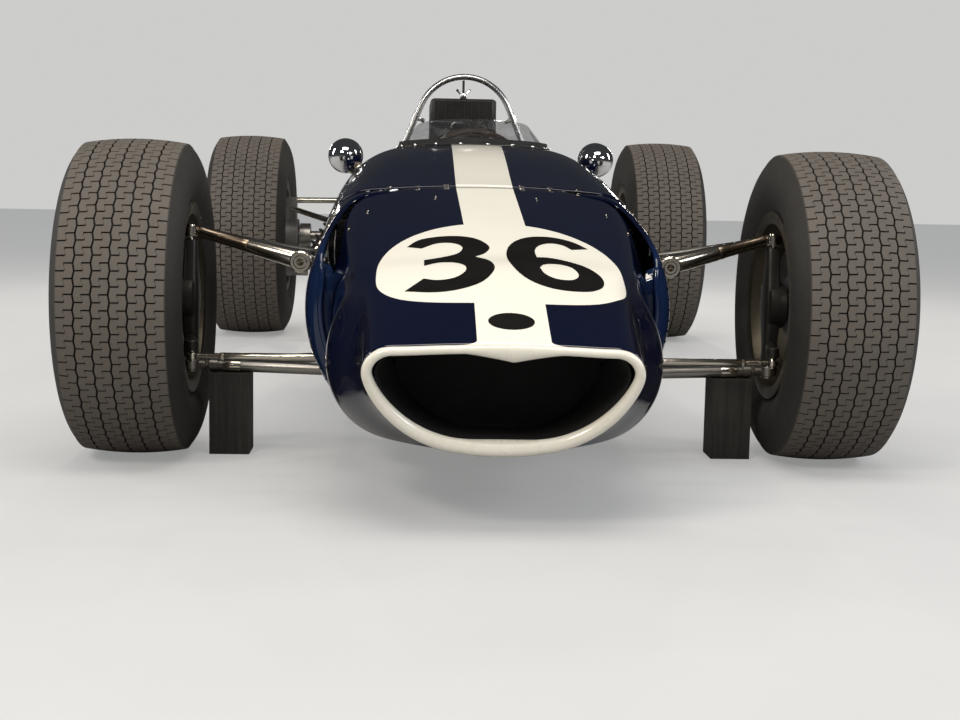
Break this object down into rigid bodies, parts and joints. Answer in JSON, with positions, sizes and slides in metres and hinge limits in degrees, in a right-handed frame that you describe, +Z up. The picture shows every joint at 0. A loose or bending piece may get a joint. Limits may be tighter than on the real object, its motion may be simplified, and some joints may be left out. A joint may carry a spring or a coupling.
{
  "type": "open wheel racing car",
  "caption": "Single seat open wheel racing car with cigar shaped tub, wide mouthed nose, outboard wheels on rocker arms and a rear vee twelve engine, on stand blocks.",
  "frame": {"origin": "middle of the car on the ground, between the nose tip and the tail pipe ends", "axes": "X to the car's left, nose towards -Y, +Z up"},
  "size_m": [1.8424, 3.8504, 0.9425],
  "materials": {
    "body_paint": "very dark blue gloss paint",
    "cream_paint": "cream gloss paint",
    "clear_screen": "clear plastic sheet",
    "radiator_core": "blackened core",
    "black_steel": "black painted steel",
    "chromed_steel": "bright plated steel",
    "plated_steel": "nickel plated steel",
    "seat_cloth": "black padded cover",
    "black_panel": "matt black",
    "cast_alloy": "cast alloy",
    "cam_paint": "black crackle paint",
    "bright_alloy": "spun alloy",
    "exhaust_steel": "pale heat resistant paint",
    "stand_wood": "dark stained wood",
    "wheel_leather": "leather bound rim",
    "tyre_rubber": "worn brown grey rubber",
    "wheel_alloy": "cast alloy"
  },
  "bodies": {
    "chassis": {"monocoque_tub": "body_paint", "nose_cone": "body_paint", "nose_lip": "cream_paint", "scuttle_panel": "body_paint", "windscreen": "clear_screen", "radiator": "radiator_core", "radiator_rails": "black_steel", "roll_hoop": "chromed_steel", "seat": "seat_cloth", "dashboard": "black_panel", "engine_block": "cast_alloy", "cam_cover_left": "cam_paint", "cam_cover_right": "cam_paint", "intake_trumpets": "bright_alloy", "intake_cover": "black_steel", "gearbox": "cast_alloy", "exhaust_left": "exhaust_steel", "exhaust_right": "exhaust_steel", "rear_crossmember": "black_steel", "stand_blocks": "stand_wood", "steering_rack": "bright_alloy", "rear_upright_left": "cast_alloy", "rear_upright_right": "cast_alloy", "rear_links_left": "plated_steel", "rear_links_right": "plated_steel", "upper_rocker_left": "plated_steel", "upper_rocker_right": "plated_steel", "lower_wishbone_left": "plated_steel", "lower_wishbone_right": "plated_steel", "rear_coilover_left": "black_steel", "rear_coilover_right": "black_steel", "mirror_left": "chromed_steel", "mirror_right": "chromed_steel"},
    "front_knuckle_left": {"front_upright_left": "cast_alloy"},
    "front_knuckle_right": {"front_upright_right": "cast_alloy"},
    "front_road_wheel_left": {"front_tyre_left": "tyre_rubber", "front_wheel_left": "wheel_alloy"},
    "front_road_wheel_right": {"front_tyre_right": "tyre_rubber", "front_wheel_right": "wheel_alloy"},
    "track_rod_left": {"tie_rod_left": "plated_steel"},
    "track_rod_right": {"tie_rod_right": "plated_steel"},
    "steering_control": {"steering_wheel": "wheel_leather"},
    "rear_road_wheel_left": {"rear_tyre_left": "tyre_rubber", "rear_wheel_left": "wheel_alloy", "driveshaft_left": "black_steel"},
    "rear_road_wheel_right": {"rear_tyre_right": "tyre_rubber", "rear_wheel_right": "wheel_alloy", "driveshaft_right": "black_steel"}
  },
  "joints": [
    {"name": "steer_left", "type": "hinge", "parent": "chassis", "child": "front_knuckle_left", "pos_m": [0.65, -1.08, 0.346], "axis": [0, 0, 1], "range_deg": [-18, 18]},
    {"name": "steer_right", "type": "hinge", "parent": "chassis", "child": "front_knuckle_right", "pos_m": [-0.65, -1.08, 0.346], "axis": [0, 0, 1], "range_deg": [-18, 18]},
    {"name": "track_rod_left_pivot", "type": "hinge", "parent": "front_knuckle_left", "child": "track_rod_left", "pos_m": [0.632, -1.192, 0.229], "axis": [0, 0, 1], "range_deg": [-18, 18]},
    {"name": "track_rod_right_pivot", "type": "hinge", "parent": "front_knuckle_right", "child": "track_rod_right", "pos_m": [-0.632, -1.192, 0.229], "axis": [0, 0, 1], "range_deg": [-18, 18]},
    {"name": "steering_wheel_turn", "type": "hinge", "parent": "chassis", "child": "steering_control", "pos_m": [0, -0.34, 0.608], "axis": [0, 0.9178, 0.3971], "range_deg": [-270, 270]},
    {"name": "front_spin_left", "type": "hinge", "parent": "front_knuckle_left", "child": "front_road_wheel_left", "pos_m": [0.762, -1.08, 0.346], "axis": [1, 0, 0], "continuous": true},
    {"name": "front_spin_right", "type": "hinge", "parent": "front_knuckle_right", "child": "front_road_wheel_right", "pos_m": [-0.762, -1.08, 0.346], "axis": [1, 0, 0], "continuous": true},
    {"name": "rear_spin_left", "type": "hinge", "parent": "chassis", "child": "rear_road_wheel_left", "pos_m": [0.7745, 1.371, 0.375], "axis": [1, 0, 0], "continuous": true},
    {"name": "rear_spin_right", "type": "hinge", "parent": "chassis", "child": "rear_road_wheel_right", "pos_m": [-0.7745, 1.371, 0.375], "axis": [1, 0, 0], "continuous": true}
  ],
  "couplings": [
    {"joint": "steer_right", "follows": "steer_left", "ratio": 1},
    {"joint": "track_rod_left_pivot", "follows": "steer_left", "ratio": -1},
    {"joint": "track_rod_right_pivot", "follows": "steer_left", "ratio": -1},
    {"joint": "steering_wheel_turn", "follows": "steer_left", "ratio": 15}
  ]
}
